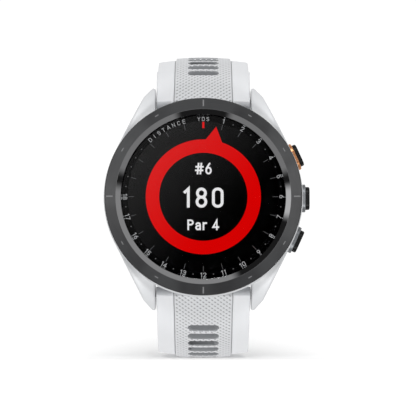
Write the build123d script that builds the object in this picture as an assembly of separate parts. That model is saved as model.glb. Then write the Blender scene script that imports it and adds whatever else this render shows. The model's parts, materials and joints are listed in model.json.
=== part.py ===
from build123d import *
import os
from math import cos, pi, radians, sin

# A golf GPS watch with a round case, a ceramic bezel, three side buttons and a two-piece silicone strap.
# Millimetres. The origin is the centre of the flat sensor window that rests on the wrist.
# +X points to 3 o'clock, +Z to 12 o'clock and the dial faces -Y.
# Case pieces are drawn with the dial facing up: x to 3 o'clock, y to 12 o'clock, z is the height above
# the wrist. dial_up_to_row() then turns them into the row's frame. Strap pieces are drawn in place.

# ---- driving dimensions ----
BEZEL_RADIUS = 21.0
CASE_RADIUS = 21.3
CASE_HEIGHT = 12.7
STRAP_WIDTH = 20.0
LUG_GAP = 20.6
LUG_TIP = 24.7
LUG_BACK = 1.0
GLASS_RADIUS = 17.45
CAVITY_RADIUS = 16.9
STRAP_THICKNESS = 2.4
PANEL_WIDTH = 12.2
PANEL_HEIGHT = 0.4

# ---- heights above the wrist ----
COVER_BACK = 1.4
HOUSING_BACK = 2.4
CHASSIS_BACK = 6.6
BOARD_BACK = 7.4
BOARD_FRONT = 8.2
HOUSING_FRONT = 10.2
LEDGE_FRONT = 10.7
GLASS_BACK = 10.9
GLASS_FRONT = 12.2

# ---- bezel, back and battery ----
MARK_DEPTH = 0.06
SCREW_CIRCLE = 18.8
SCREW_ANGLES = (45, 135, 225, 315)
SCREW_SHANK = 0.6
SCREW_HEAD = 1.05
CONTACT_ROW = -14.8
CONTACT_PLACES = (-3.0, -1.0, 1.0, 3.0)
CONTACT_RADIUS = 0.55
VENT_PLACE = -15.0
VENT_RADIUS = 1.2
BATTERY_WIDTH = 20.0
BATTERY_LENGTH = 18.0
BATTERY_CENTRE = -3.0

# ---- lug bars ----
BAR_HEIGHT = 3.6
BAR_OFFSET = 21.2
BAR_RADIUS = 0.75
PIN_RADIUS = 0.4
RUNNING_GAP = 0.05
PIN_REACH = 11.8
TUBE_HALF_LENGTH = 9.3
WALL_OFFSET = 18.5
LEVER_LOW = 5.6
LEVER_HIGH = 6.8
NOTCH_LOW = 3.8
NOTCH_HIGH = 7.2
BARREL_RADIUS = 2.3

# ---- buttons ----
BUTTON_ANGLES = {"upper": 24.5, "middle": 0.0, "lower": -24.5}
BUTTON_HEIGHT = 6.1
BUTTON_TRAVEL = 0.35
CAP_LENGTH = 4.95
CAP_DEPTH = 2.6
CAP_FRONT = 22.85
CAP_BACK = 21.45
GUARD_LENGTH = 6.0
GUARD_DEPTH = 3.8
GUARD_FRONT = 21.95
GUARD_SEAT = 20.9
RIDGES = 6
RIDGE_PITCH = 0.43
STEM_RADIUS = 0.8
STEM_END = 16.0
SWITCH_FRONT = STEM_END - BUTTON_TRAVEL - RUNNING_GAP
FLEX_RADIUS = 14.9

# ---- strap route: the outer surface, as (radius, turn in degrees) arcs and straight lengths ----
ROUTE_START = (-7.5, 21.0)
ROUTE_HEADING = 38.0
UPPER_ROUTE = [("arc", 32.3, 52.0), ("line", 3.3), ("arc", 30.0, 25.0), ("line", 20.0)]
LOWER_ROUTE = [("arc", 37.0, 34.0), ("arc", 10.0, 18.0), ("line", 20.0), ("arc", 30.0, 90.0), ("line", 10.0)]
SLOT_WIDTH = 6.5
SLOT_LENGTH = 2.1
VENT_PITCH = 3.0
FIRST_VENT_UPPER = 9.8
FIRST_VENT_LOWER = 9.4
VENTS_UPPER = 6
VENTS_LOWER = 7
FIRST_HOLE = 44.0
HOLE_PITCH = 5.0
HOLES = 10
TIP_RADIUS = 7.0

# ---- buckle ----
BUCKLE_BAR_AHEAD = 1.6
BUCKLE_REACH = 8.4
BUCKLE_ARM = 1.65
KEEPER_WIDTH = 4.0
KEEPER_WALL = 0.9
FIXED_KEEPER_AT = 11.0
FREE_KEEPER_AT = 1.2

BASE = (Align.CENTER, Align.CENTER, Align.MIN)
LOW_CORNER = (Align.MIN, Align.MIN, Align.MIN)


def save(name, shape):
    """Write one named piece."""
    export_step(shape, f"parts/{name}.step")


def dial_up_to_row(shape):
    """Turn a piece drawn with the dial facing up into the row's frame."""
    return Rot(90, 0, 0) * shape


def save_case(name, shape):
    """Write one piece that was drawn with the dial facing up."""
    save(name, dial_up_to_row(shape))


def group(pieces):
    """Several separate solids that share one node."""
    return Compound([piece.solid() for piece in pieces])


def disc(radius, low, high, x=0.0, y=0.0):
    """A disc between two heights."""
    return Pos(x, y, low) * Cylinder(radius, high - low, align=BASE)


def ring(outer, inner, low, high):
    """A flat ring between two heights."""
    return disc(outer, low, high) - disc(inner, low - 1, high + 1)


def block(x_low, x_high, y_low, y_high, low, high):
    """A box given by its six limits."""
    return Pos(x_low, y_low, low) * Box(x_high - x_low, y_high - y_low, high - low, align=LOW_CORNER)


def turned(points):
    """Revolve a closed outline of (radius, height) points about the dial's axis."""
    outline = Plane.XZ * make_face(Polyline(*points, close=True))
    return revolve(outline, Axis.Z)


def pill(length, depth, start, end):
    """A round-ended prism that runs outward along x, at the buttons' height."""
    outline = Plane.YZ.offset(start) * (Pos(0, BUTTON_HEIGHT) * SlotOverall(length, depth))
    return extrude(outline, end - start)


def rod(radius, start, end):
    """A round bar that runs outward along x, at the buttons' height."""
    outline = Plane.YZ.offset(start) * (Pos(0, BUTTON_HEIGHT) * Circle(radius))
    return extrude(outline, end - start)


# ---------------------------------------------------------------- case shell
def lug():
    """The lug beside 1 o'clock: a tapered horn that slopes back from the bezel to a rounded tip."""
    outline = Polyline((LUG_GAP / 2, 12), (LUG_GAP / 2, LUG_TIP), (12.8, 21.9), (18.98, 9.67), (13, 8),
                       close=True)
    plan = make_face(outline)
    tips = plan.vertices().sort_by(Axis.Y)
    plan = fillet(tips[-1], 0.45)
    plan = fillet(plan.vertices().sort_by_distance((12.8, 21.9))[0], 1.6)
    side = Line((6, LUG_BACK), (6, 9.9))
    side += Line((6, 9.9), (13, 9.9))
    side += ThreePointArc((13, 9.9), (19.8, 8.65), (24.25, 5.0))
    side += ThreePointArc((24.25, 5.0), (24.25, 2.6), (22.4, LUG_BACK))
    side += Line((22.4, LUG_BACK), (6, LUG_BACK))
    profile = Plane.YZ.offset(5) * make_face(side)
    horn = extrude(plan, 12) & extrude(profile, 20)
    front = [edge for edge in horn.edges() if edge.center().Z > 6.5 and edge.center().X > 12.7]
    return fillet([edge for edge in front if abs(edge.tangent_at(0.5).Y) > 0.5], 0.5)


def lug_cavities():
    """The blind holes in which the spring bars' pins sit."""
    holes = Part()
    for sign in (1, -1):
        drill = Pos(0, sign * BAR_OFFSET, BAR_HEIGHT) * Rot(0, 90, 0) * Cylinder(PIN_RADIUS + RUNNING_GAP, 24)
        holes += drill
    return holes


def screw_places():
    """The (x, y) places of the four back screws."""
    return [(SCREW_CIRCLE * cos(radians(a)), SCREW_CIRCLE * sin(radians(a))) for a in SCREW_ANGLES]


def case_housing():
    """The moulded middle case with its four lugs, button seats and seal groove."""
    shell = turned([(0, HOUSING_BACK), (20.3, HOUSING_BACK), (20.9, 3.6), (CASE_RADIUS, 6.0),
                    (CASE_RADIUS, 9.4), (20.85, HOUSING_FRONT), (0, HOUSING_FRONT)])
    for side in (1, -1):
        shell -= block(-LUG_GAP / 2, LUG_GAP / 2, min(side * WALL_OFFSET, side * 30),
                       max(side * WALL_OFFSET, side * 30), 0, 9.2)
    horn = lug()
    for copy in (horn, mirror(horn, Plane.YZ)):
        shell += copy
        shell += mirror(copy, Plane.XZ)
    shell -= disc(CAVITY_RADIUS, 0, 20)
    shell -= ring(20.35, 10, 0, HOUSING_BACK)
    shell -= ring(17.8, 17.25, HOUSING_BACK - 1, HOUSING_BACK + 0.4)
    for x, y in screw_places():
        shell -= disc(SCREW_SHANK, 0, 5.6, x, y)
    for angle in BUTTON_ANGLES.values():
        seat = pill(GUARD_LENGTH + 0.04, GUARD_DEPTH + 0.04, GUARD_SEAT, 24)
        shell -= Rot(0, 0, angle) * (seat + rod(STEM_RADIUS + RUNNING_GAP, 15, 22))
    return shell - lug_cavities()


def bezel():
    """The ceramic ring: flat brushed top, polished inner chamfer, seat for the glass and a spigot."""
    ceramic = turned([(16.35, 9.2), (16.85, 9.2), (16.85, HOUSING_FRONT), (20.85, HOUSING_FRONT),
                      (BEZEL_RADIUS, 10.35), (BEZEL_RADIUS, 12.45), (20.8, CASE_HEIGHT),
                      (18.6, CASE_HEIGHT), (17.55, 12.28), (17.5, 12.2), (17.5, LEDGE_FRONT),
                      (16.35, LEDGE_FRONT)])
    for hour in range(12):
        if hour % 3 == 0:
            mark = Pos(19.9, 0, CASE_HEIGHT) * Box(1.4, 0.3, 2 * MARK_DEPTH)
        else:
            mark = Pos(19.8, 0, CASE_HEIGHT) * Box(0.2, 0.85, 2 * MARK_DEPTH)
        ceramic -= Rot(0, 0, 30 * hour) * mark
    return ceramic


def lens_glass():
    """The flat cover glass."""
    glass = disc(GLASS_RADIUS, GLASS_BACK, GLASS_FRONT)
    return chamfer(glass.edges().sort_by(Axis.Z)[-1], 0.15)


def back_cover():
    """The back plate with its sensor dome, charging recess, vent hole and countersunk screw holes."""
    plate = turned([(8.0, 0.15), (10.6, 0.15), (11.5, 0.5), (12.2, COVER_BACK), (19.8, COVER_BACK),
                    (20.25, 1.8), (20.25, HOUSING_BACK), (8.4, HOUSING_BACK), (8.4, 1.5), (7.2, 1.5),
                    (7.2, 0.85), (8.0, 0.85)])
    plate &= block(-30, 30, -18.3, 18.3, -1, 5)
    for x, y in screw_places():
        plate -= disc(SCREW_SHANK + RUNNING_GAP, 0, 5, x, y)
        plate -= disc(SCREW_HEAD + RUNNING_GAP, 0, COVER_BACK + 0.55, x, y)
    plate -= Pos(0, CONTACT_ROW, 1) * extrude(SlotOverall(9.0, 2.4), 0.8)
    for x in CONTACT_PLACES:
        plate -= disc(CONTACT_RADIUS, 0, 5, x, CONTACT_ROW)
    return plate - disc(VENT_RADIUS, 0, 5, VENT_PLACE, 0)


def charge_contacts():
    """Four gold pins that stand a little proud of the recess's floor."""
    pins = [disc(CONTACT_RADIUS, 1.7, 2.8, x, CONTACT_ROW) for x in CONTACT_PLACES]
    return group(pins)


def pressure_vent():
    """The barometer's vent: a disc with a ring of fine holes."""
    vent = disc(VENT_RADIUS, COVER_BACK, HOUSING_BACK, VENT_PLACE, 0)
    for angle in range(0, 360, 60):
        x = VENT_PLACE + 0.65 * cos(radians(angle))
        y = 0.65 * sin(radians(angle))
        vent -= disc(0.15, 0, 5, x, y)
    return vent


def back_screws():
    """Four countersunk screws with six-sided drives."""
    screws = []
    for x, y in screw_places():
        screw = disc(SCREW_HEAD, COVER_BACK, COVER_BACK + 0.55, x, y)
        screw += disc(SCREW_SHANK, COVER_BACK, 5.2, x, y)
        screw -= Pos(x, y, COVER_BACK) * extrude(RegularPolygon(0.5, 6), 0.3)
        screws.append(screw)
    return group(screws)


def case_shell_pieces():
    """The outer case, its seals, glass and back."""
    save_case("case_housing", case_housing())
    save_case("bezel", bezel())
    save_case("lens_glass", lens_glass())
    save_case("lens_gasket", ring(17.4, 16.45, LEDGE_FRONT, GLASS_BACK))
    save_case("back_cover", back_cover())
    save_case("back_gasket", ring(17.75, 17.3, HOUSING_BACK, HOUSING_BACK + 0.38))
    save_case("back_screws", back_screws())
    save_case("charge_contacts", charge_contacts())
    save_case("pressure_vent", pressure_vent())
    window = disc(7.95, 0, 0.85)
    save_case("sensor_window", chamfer(window.edges().sort_by(Axis.Z)[0], 0.12))


# ---------------------------------------------------------------- inside the case
def arc_wall(outer, inner, half_angle, low, high):
    """A curved wall centred on 3 o'clock."""
    wall = ring(outer, inner, low, high)
    wedge = make_face(Polyline((0, 0), (40, 40 * sin(radians(half_angle))),
                               (40, -40 * sin(radians(half_angle))), close=True))
    return wall & extrude(Pos(0, 0, low) * wedge, high - low)


def inner_chassis():
    """The plastic carrier: a floor under the board, a frame round the battery, a wall behind the switches."""
    floor = disc(16.8, CHASSIS_BACK, BOARD_BACK)
    floor -= arc_wall(20, 14.75, 42, CHASSIS_BACK - 1, BOARD_BACK + 1)
    half_width = BATTERY_WIDTH / 2 + 0.1
    half_length = BATTERY_LENGTH / 2 + 0.1
    frame = Pos(0, BATTERY_CENTRE, 3.4) * (Box(2 * half_width + 1.4, 2 * half_length + 1.4, 3.4, align=BASE)
                                           - Box(2 * half_width, 2 * half_length, 3.4, align=BASE))
    collar = Pos(0, 11.3, 0) * (disc(4.8, 4.4, 7.0) - disc(4.1, 4, CHASSIS_BACK))
    return floor + frame + collar + arc_wall(14.75, 14.05, 38, 3.4, BOARD_BACK)


def board_chips():
    """The packages on the main board beside the shield can."""
    places = [(-11.0, 3.0, 4.0, 4.0, 0.8), (-10.5, -4.5, 3.0, 5.0, 0.7), (10.5, -5.5, 3.6, 3.6, 0.9),
              (10.0, 1.5, 2.4, 3.4, 0.6), (0.0, -12.5, 5.0, 2.6, 0.8), (4.8, 12.6, 2.0, 1.6, 0.6)]
    chips = []
    for x, y, width, length, height in places:
        chips.append(Pos(x, y, BOARD_FRONT) * Box(width, length, height, align=BASE))
    return group(chips)


def shield_can():
    """The folded tin lid over the radio."""
    lid = Pos(0, 1.0, BOARD_FRONT) * Box(13.0, 15.0, 1.1, align=BASE)
    return lid - Pos(0, 1.0, BOARD_FRONT) * Box(12.7, 14.7, 0.95, align=BASE)


def sensor_leds():
    """The heart-rate sensor's lamps and light sensors, facing the wrist."""
    parts = [block(-1.0, 1.0, -1.0, 1.0, 0.95, 1.5)]
    for angle in range(0, 360, 90):
        x = 4.3 * cos(radians(angle))
        y = 4.3 * sin(radians(angle))
        parts.append(block(x - 0.9, x + 0.9, y - 0.9, y + 0.9, 0.95, 1.5))
    return group(parts)


def tact_switches():
    """Three side switches with a well for the plunger."""
    switches = []
    for angle in BUTTON_ANGLES.values():
        switch = block(FLEX_RADIUS, SWITCH_FRONT, -1.5, 1.5, BUTTON_HEIGHT - 1.1, BUTTON_HEIGHT + 1.1)
        switch -= rod(0.5, SWITCH_FRONT - 0.6, SWITCH_FRONT + 1)
        switches.append(Rot(0, 0, angle) * switch)
    return group(switches)


def inner_pieces():
    """Electronics, battery and their carrier."""
    save_case("display_panel", disc(16.2, 9.9, GLASS_BACK))
    save_case("inner_chassis", inner_chassis())
    save_case("main_board", disc(16.0, BOARD_BACK, BOARD_FRONT))
    save_case("board_chips", board_chips())
    save_case("shield_can", shield_can())
    cell = Pos(0, BATTERY_CENTRE, 2.9) * Box(BATTERY_WIDTH, BATTERY_LENGTH, 3.6, align=BASE)
    save_case("battery", fillet(cell.edges().filter_by(Axis.Z), 1.5))
    save_case("vibration_motor", disc(4.0, 3.2, 6.2, 0, 11.3))
    save_case("gps_antenna_ring", ring(16.8, 16.1, 8.4, 9.1))
    save_case("sensor_board", disc(8.3, 1.5, 2.2))
    save_case("sensor_leds", sensor_leds())
    save_case("button_flex", arc_wall(FLEX_RADIUS, FLEX_RADIUS - 0.15, 36, 4.7, 7.3))
    save_case("tact_switches", tact_switches())


# ---------------------------------------------------------------- buttons
def button_guard(ridged):
    """The pill-shaped flange round a cap. The upper one has fine ridges on its dial side."""
    guard = pill(GUARD_LENGTH, GUARD_DEPTH, GUARD_SEAT, GUARD_FRONT)
    rim = guard.edges().group_by(Axis.X)[-1]
    guard = fillet(rim, 0.2)
    guard -= pill(CAP_LENGTH + 0.1, CAP_DEPTH + 0.1, GUARD_SEAT - 1, GUARD_FRONT + 1)
    if ridged:
        top = BUTTON_HEIGHT + GUARD_DEPTH / 2
        for k in range(RIDGES):
            offset = (k - (RIDGES - 1) / 2) * RIDGE_PITCH
            guard += block(21.35, GUARD_FRONT, offset - 0.1, offset + 0.1, top - 0.3, top + 0.12)
    return guard


def button_cap():
    """The pressed cap and its grooved stem."""
    head = pill(CAP_LENGTH, CAP_DEPTH, CAP_BACK, CAP_FRONT)
    head = fillet(head.edges().group_by(Axis.X)[-1], 0.3)
    stem = rod(STEM_RADIUS, STEM_END, CAP_BACK)
    for low, high in ((19.2, 19.7), (16.2, 16.45)):
        stem -= rod(STEM_RADIUS + 1, low, high) - rod(0.55, low - 1, high + 1)
    return head + stem


def button_pieces():
    """Each button: guard, cap, seal, retaining clip and the switch's plunger."""
    for name, angle in BUTTON_ANGLES.items():
        place = Rot(0, 0, angle)
        oring = rod(STEM_RADIUS + 0.03, 19.25, 19.65) - rod(0.56, 19, 20)
        clip = rod(1.05, 16.22, 16.43) - rod(0.56, 16, 17)
        clip -= block(16, 17, -0.35, 0.35, BUTTON_HEIGHT, BUTTON_HEIGHT + 2)
        save_case(f"button_guard_{name}", place * button_guard(name == "upper"))
        save_case(f"button_cap_{name}", place * button_cap())
        save_case(f"button_oring_{name}", place * oring)
        save_case(f"button_clip_{name}", place * clip)
        save_case(f"switch_plunger_{name}", place * rod(0.45, SWITCH_FRONT - 0.2, STEM_END))


# ---------------------------------------------------------------- strap
def across(y, z, heading, offset):
    """The (y, z) point that stands offset outside a route point whose heading is given in degrees."""
    return (y - offset * cos(radians(heading)), z + offset * sin(radians(heading)))


def route_edges(route, offset):
    """The edges of the route's outline, moved outward by offset, with its end point and heading."""
    y, z = ROUTE_START
    heading = ROUTE_HEADING
    edges = []
    for step in route:
        start = across(y, z, heading, offset)
        if step[0] == "line":
            y += step[1] * sin(radians(heading))
            z += step[1] * cos(radians(heading))
            edges.append(Line(start, across(y, z, heading, offset)))
            continue
        radius, turn = step[1], step[2]
        centre = across(y, z, heading, -radius)
        middle = across(*centre, heading + turn / 2, radius + offset)
        heading += turn
        edges.append(ThreePointArc(start, middle, across(*centre, heading, radius + offset)))
        y, z = across(*centre, heading, radius)
    return edges, (y, z, heading)


def route_point(route, distance):
    """The (y, z, heading) of the point at a distance along the route."""
    y, z = ROUTE_START
    heading = ROUTE_HEADING
    left = distance
    for step in route:
        length = step[1] if step[0] == "line" else step[1] * radians(step[2])
        part = min(left, length)
        if step[0] == "line":
            y += part * sin(radians(heading))
            z += part * cos(radians(heading))
        else:
            centre = across(y, z, heading, -step[1])
            heading += part / length * step[2]
            y, z = across(*centre, heading, step[1])
        left -= part
        if left <= 0:
            break
    return y, z, heading


def band(route, inner, outer, width):
    """A strip of the strap between two offsets, centred on x = 0."""
    inside, (y, z, heading) = route_edges(route, inner)
    outside, _ = route_edges(route, outer)
    first = across(*ROUTE_START, ROUTE_HEADING, inner)
    last = across(y, z, heading, inner)
    outline = Line(first, across(*ROUTE_START, ROUTE_HEADING, outer))
    for edge in inside + outside:
        outline += edge
    outline += Line(last, across(y, z, heading, outer))
    return extrude(Plane.YZ * make_face(outline), width / 2, both=True)


def side_plate(points, width):
    """A plate with a polygonal side view of (y, z) points, centred on x = 0."""
    return extrude(Plane.YZ * make_face(Polyline(*points, close=True)), width / 2, both=True)


def x_rod(radius, y, z, x_low, x_high):
    """A round bar along x."""
    middle = (x_low + x_high) / 2
    return Pos(middle, y, z) * Rot(0, 90, 0) * Cylinder(radius, x_high - x_low)


def slot_cutter(route, distance):
    """A round-ended through slot, square to the strap's surface."""
    y, z, heading = route_point(route, distance)
    normal = (0, -cos(radians(heading)), sin(radians(heading)))
    plane = Plane(origin=(0, y, z), x_dir=(1, 0, 0), z_dir=normal)
    return plane * (Pos(0, 0, -4) * extrude(SlotOverall(SLOT_WIDTH, SLOT_LENGTH), 6))


def strap_head():
    """The thick end that holds the lug bar: barrel, shoulder under the bezel and taper to the band."""
    axis_y = -BAR_HEIGHT
    head = x_rod(BARREL_RADIUS, axis_y, BAR_OFFSET, -STRAP_WIDTH / 2, STRAP_WIDTH / 2)
    head += side_plate([(axis_y, BAR_OFFSET), (-4.9, 19.31), (-6.3, 19.75), (-7.3, 20.4), ROUTE_START,
                        (-6.2, 22.5), (axis_y, 23.5)], STRAP_WIDTH)
    head += side_plate([(axis_y, BAR_OFFSET), (-1.58, 20.1), (1.62, 26.0), (-1.0, 26.5), (axis_y, 24.2)],
                       STRAP_WIDTH)
    return head


def lug_bar_space():
    """The bore for the lug bar and the notch for its release lever."""
    bore = x_rod(BAR_RADIUS + RUNNING_GAP, -BAR_HEIGHT, BAR_OFFSET, -15, 15)
    notch = block(NOTCH_LOW, NOTCH_HIGH, -BAR_HEIGHT, 4, BAR_OFFSET - 1.0, BAR_OFFSET + 1.0)
    return bore + notch


def strap_upper():
    """The short half: vents near the case, and a barrel with a notch at the buckle end."""
    strap = band(UPPER_ROUTE, -STRAP_THICKNESS, 0, STRAP_WIDTH) + strap_head()
    strap += band(UPPER_ROUTE[:3], -1, PANEL_HEIGHT, PANEL_WIDTH)
    strap += x_rod(1.9, *buckle_axis(), -STRAP_WIDTH / 2, STRAP_WIDTH / 2)
    strap -= x_rod(BAR_RADIUS + RUNNING_GAP, *buckle_axis(), -15, 15)
    strap -= buckle_plane() * block(-3.0, 3.0, -3.6, 3.0, -3.0, 3.0)
    for k in range(VENTS_UPPER):
        strap -= slot_cutter(UPPER_ROUTE, FIRST_VENT_UPPER + k * VENT_PITCH)
    return strap - lug_bar_space()


def strap_lower():
    """The long half: vents near the case, adjusting holes along the tail and a round tip."""
    strap = band(LOWER_ROUTE, -STRAP_THICKNESS, 0, STRAP_WIDTH)
    y, z, heading = route_point(LOWER_ROUTE, 1000)
    tip = across(y, z, heading, -STRAP_THICKNESS / 2)
    upright = strap.edges().filter_by(Axis.X, reverse=True)
    corners = [upright.sort_by_distance((side * STRAP_WIDTH / 2, *tip))[0] for side in (1, -1)]
    strap = fillet(corners, TIP_RADIUS)
    strap += strap_head()
    strap += band(LOWER_ROUTE[:4], -1, PANEL_HEIGHT, PANEL_WIDTH)
    for k in range(VENTS_LOWER):
        strap -= slot_cutter(LOWER_ROUTE, FIRST_VENT_LOWER + k * VENT_PITCH)
    for k in range(HOLES):
        strap -= slot_cutter(LOWER_ROUTE, FIRST_HOLE + k * HOLE_PITCH)
    return mirror(strap - lug_bar_space(), Plane.XY)


def bar_tube():
    """The lug bar's tube, narrowed at the release end and slotted for the lever."""
    tube = x_rod(BAR_RADIUS, 0, 0, -TUBE_HALF_LENGTH, TUBE_HALF_LENGTH)
    tube -= x_rod(0.55, 0, 0, -10, 8.9)
    tube -= x_rod(PIN_RADIUS + RUNNING_GAP, 0, 0, 8, 10)
    return tube - block(NOTCH_LOW, NOTCH_HIGH - 0.2, 0, 2, -0.45, 0.45)


def bar_release():
    """The sliding pin with its lever, which stands out on the wrist side."""
    pin = x_rod(0.5, 0, 0, 5.0, 8.85)
    pin += x_rod(PIN_RADIUS, 0, 0, 8.5, PIN_REACH)
    return pin + block(LEVER_LOW, LEVER_HIGH, 0.2, 2.2, -0.4, 0.4)


def bar_fixed_pin():
    """The pin pressed into the tube's other end."""
    pin = x_rod(0.55, 0, 0, -TUBE_HALF_LENGTH, -7.0)
    return pin + x_rod(PIN_RADIUS, 0, 0, -PIN_REACH, -8.0)


def bar_spring():
    """The coil spring at its length with the pin drawn in."""
    wire = 0.06
    coil_radius = 0.4
    length = 9.6
    turns = 14
    path = Helix(length / turns, length, coil_radius)
    start = path @ 0
    coil = sweep(Plane(origin=start, z_dir=path % 0) * Circle(wire), path)
    return Pos(-6.8, 0, 0) * Rot(0, 90, 0) * coil


def lug_bars():
    """Both quick-release lug bars."""
    for name, sign in (("upper", 1), ("lower", -1)):
        place = Pos(0, -BAR_HEIGHT, sign * BAR_OFFSET)
        save(f"spring_bar_{name}_tube", place * bar_tube())
        save(f"spring_bar_{name}_fixed_pin", place * bar_fixed_pin())
        save(f"spring_bar_{name}_spring", place * bar_spring())
        save(f"spring_bar_{name}_release", place * bar_release())


# ---------------------------------------------------------------- buckle and keepers
def buckle_axis():
    """The (y, z) of the buckle's bar."""
    y, z, heading = route_point(UPPER_ROUTE, 1000)
    y, z = across(y, z, heading, -STRAP_THICKNESS / 2)
    return y + BUCKLE_BAR_AHEAD * sin(radians(heading)), z + BUCKLE_BAR_AHEAD * cos(radians(heading))


def buckle_plane():
    """A frame at the buckle's bar: x along it, y away from the strap, z outward."""
    heading = route_point(UPPER_ROUTE, 1000)[2]
    normal = (0, -cos(radians(heading)), sin(radians(heading)))
    y, z = buckle_axis()
    return Plane(origin=(0, y, z), x_dir=(1, 0, 0), z_dir=normal)


def buckle_frame():
    """The metal frame: two arms, which hold the bar, and a cross piece."""
    inner = STRAP_WIDTH / 2 + 0.35
    outer = inner + BUCKLE_ARM
    frame = block(-outer, outer, -1.8, BUCKLE_REACH, -1.1, 1.1)
    frame = fillet(frame.edges().filter_by(Axis.Z), 1.7)
    frame -= block(-inner, inner, -5, BUCKLE_REACH - 2.2, -2, 2)
    frame -= Rot(0, 90, 0) * Cylinder(BAR_RADIUS, 40)
    return chamfer(frame.edges().filter_by(Axis.Y), 0.3)


def buckle_tongue():
    """The wide tongue, hooked round the bar and resting on the cross piece."""
    half_width = 2.6
    tongue = x_rod(1.5, 0, 0, -half_width, half_width)
    blade = block(-half_width, half_width, 0, BUCKLE_REACH - 0.3, 1.15, 2.1)
    tip = blade.edges().filter_by(Axis.Z).group_by(Axis.Y)[-1]
    tongue += fillet(tip, 1.2)
    return tongue - x_rod(BAR_RADIUS + RUNNING_GAP, 0, 0, -5, 5)


def keeper(distance, under, over):
    """A loop round the strap whose opening reaches from under its inner side to over its outer side."""
    half = STRAP_WIDTH / 2 + 0.2
    low = -STRAP_THICKNESS - under
    loop = block(-half - KEEPER_WALL, half + KEEPER_WALL, 0, KEEPER_WIDTH, low - KEEPER_WALL,
                 over + KEEPER_WALL)
    loop = fillet(loop.edges().filter_by(Axis.Y), 0.85)
    opening = block(-half, half, -1, KEEPER_WIDTH + 1, low, over)
    loop -= fillet(opening.edges().filter_by(Axis.Y), 0.2)
    straight = sum(step[1] if step[0] == "line" else step[1] * radians(step[2]) for step in UPPER_ROUTE[:3])
    y, z, heading = route_point(UPPER_ROUTE, straight + distance)
    normal = (0, -cos(radians(heading)), sin(radians(heading)))
    return Plane(origin=(0, y, z), x_dir=(1, 0, 0), z_dir=normal) * loop


def strap_pieces():
    """Both strap halves with their bars, buckle and keepers."""
    save("strap_upper", strap_upper())
    save("strap_lower", strap_lower())
    lug_bars()
    save("buckle_frame", buckle_plane() * buckle_frame())
    save("buckle_bar", buckle_plane() * x_rod(BAR_RADIUS, 0, 0, -11.9, 11.9))
    save("buckle_tongue", buckle_plane() * buckle_tongue())
    save("keeper_fixed", keeper(FIXED_KEEPER_AT, 0.0, 3.2))
    save("keeper_free", keeper(FREE_KEEPER_AT, 0.15, 3.2))


os.makedirs("parts", exist_ok=True)
case_shell_pieces()
inner_pieces()
button_pieces()
strap_pieces()
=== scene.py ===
# Looks for the golf GPS watch: skins, dial print, materials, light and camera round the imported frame.
# Metres, in the part's frame: +X to 3 o'clock, +Z to 12 o'clock, the dial faces -Y.

import json
import math

import bmesh
import bpy
from mathutils import Matrix, Vector


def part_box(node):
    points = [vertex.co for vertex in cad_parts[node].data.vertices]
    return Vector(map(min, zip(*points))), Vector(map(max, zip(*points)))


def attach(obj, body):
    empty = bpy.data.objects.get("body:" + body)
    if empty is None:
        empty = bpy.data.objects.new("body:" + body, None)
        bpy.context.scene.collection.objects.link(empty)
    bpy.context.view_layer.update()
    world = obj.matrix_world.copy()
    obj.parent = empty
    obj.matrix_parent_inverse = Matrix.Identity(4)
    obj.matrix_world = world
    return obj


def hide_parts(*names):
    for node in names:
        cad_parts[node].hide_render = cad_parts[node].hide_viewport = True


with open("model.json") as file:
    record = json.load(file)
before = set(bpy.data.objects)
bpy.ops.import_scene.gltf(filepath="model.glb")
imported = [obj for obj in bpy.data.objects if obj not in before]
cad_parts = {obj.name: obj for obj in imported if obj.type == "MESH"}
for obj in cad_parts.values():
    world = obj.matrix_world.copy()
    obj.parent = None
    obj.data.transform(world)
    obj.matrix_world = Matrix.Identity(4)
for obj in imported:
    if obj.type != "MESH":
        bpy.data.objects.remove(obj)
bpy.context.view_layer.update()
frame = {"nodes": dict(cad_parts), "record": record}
NODES = frame["nodes"]
RECORD = frame["record"]
MM = 0.001

# ---- places taken from the frame ----
BEZEL_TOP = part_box("bezel")[0].y
DISPLAY_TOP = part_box("display_panel")[0].y
DISPLAY_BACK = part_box("display_panel")[1].y
DISPLAY_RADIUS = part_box("display_panel")[1].x
STRAP_HALF_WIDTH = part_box("strap_upper")[1].x
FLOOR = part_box("strap_lower")[0].z


# ================================================================ small helpers
def new_object(name, points, faces, smooth=True):
    """A mesh object from points in metres, with its faces turned outward."""
    mesh = bpy.data.meshes.new(name)
    mesh.from_pydata([tuple(p) for p in points], [], faces)
    mesh.validate()
    shell = bmesh.new()
    shell.from_mesh(mesh)
    bmesh.ops.recalc_face_normals(shell, faces=shell.faces)
    shell.to_mesh(mesh)
    shell.free()
    mesh.polygons.foreach_set("use_smooth", [smooth] * len(mesh.polygons))
    made = bpy.data.objects.new(name, mesh)
    bpy.context.scene.collection.objects.link(made)
    return made


def finished(piece, material, body, replaces=()):
    """Gives a piece its material, its body and the CAD nodes that it stands for."""
    if not piece.data.materials:
        piece.data.materials.append(material)
    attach(piece, body)
    if replaces:
        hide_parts(*replaces)
    return piece


def apply_modifiers(piece):
    """Turns a piece's modifiers into its mesh."""
    depsgraph = bpy.context.evaluated_depsgraph_get()
    mesh = bpy.data.meshes.new_from_object(piece.evaluated_get(depsgraph))
    piece.modifiers.clear()
    piece.data = mesh
    return piece


def cut(piece, cutter):
    """Takes the cutter's volume out of the piece, and removes the cutter."""
    step = piece.modifiers.new("cut", "BOOLEAN")
    step.operation = "DIFFERENCE"
    step.solver = "EXACT"
    step.material_mode = "TRANSFER"
    step.object = cutter
    apply_modifiers(piece)
    bpy.data.objects.remove(cutter)
    return piece


def sharpen(piece, degrees):
    """Smooth shading with sharp edges kept where faces meet at more than an angle."""
    piece.data.set_sharp_from_angle(angle=math.radians(degrees))
    return piece


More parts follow.
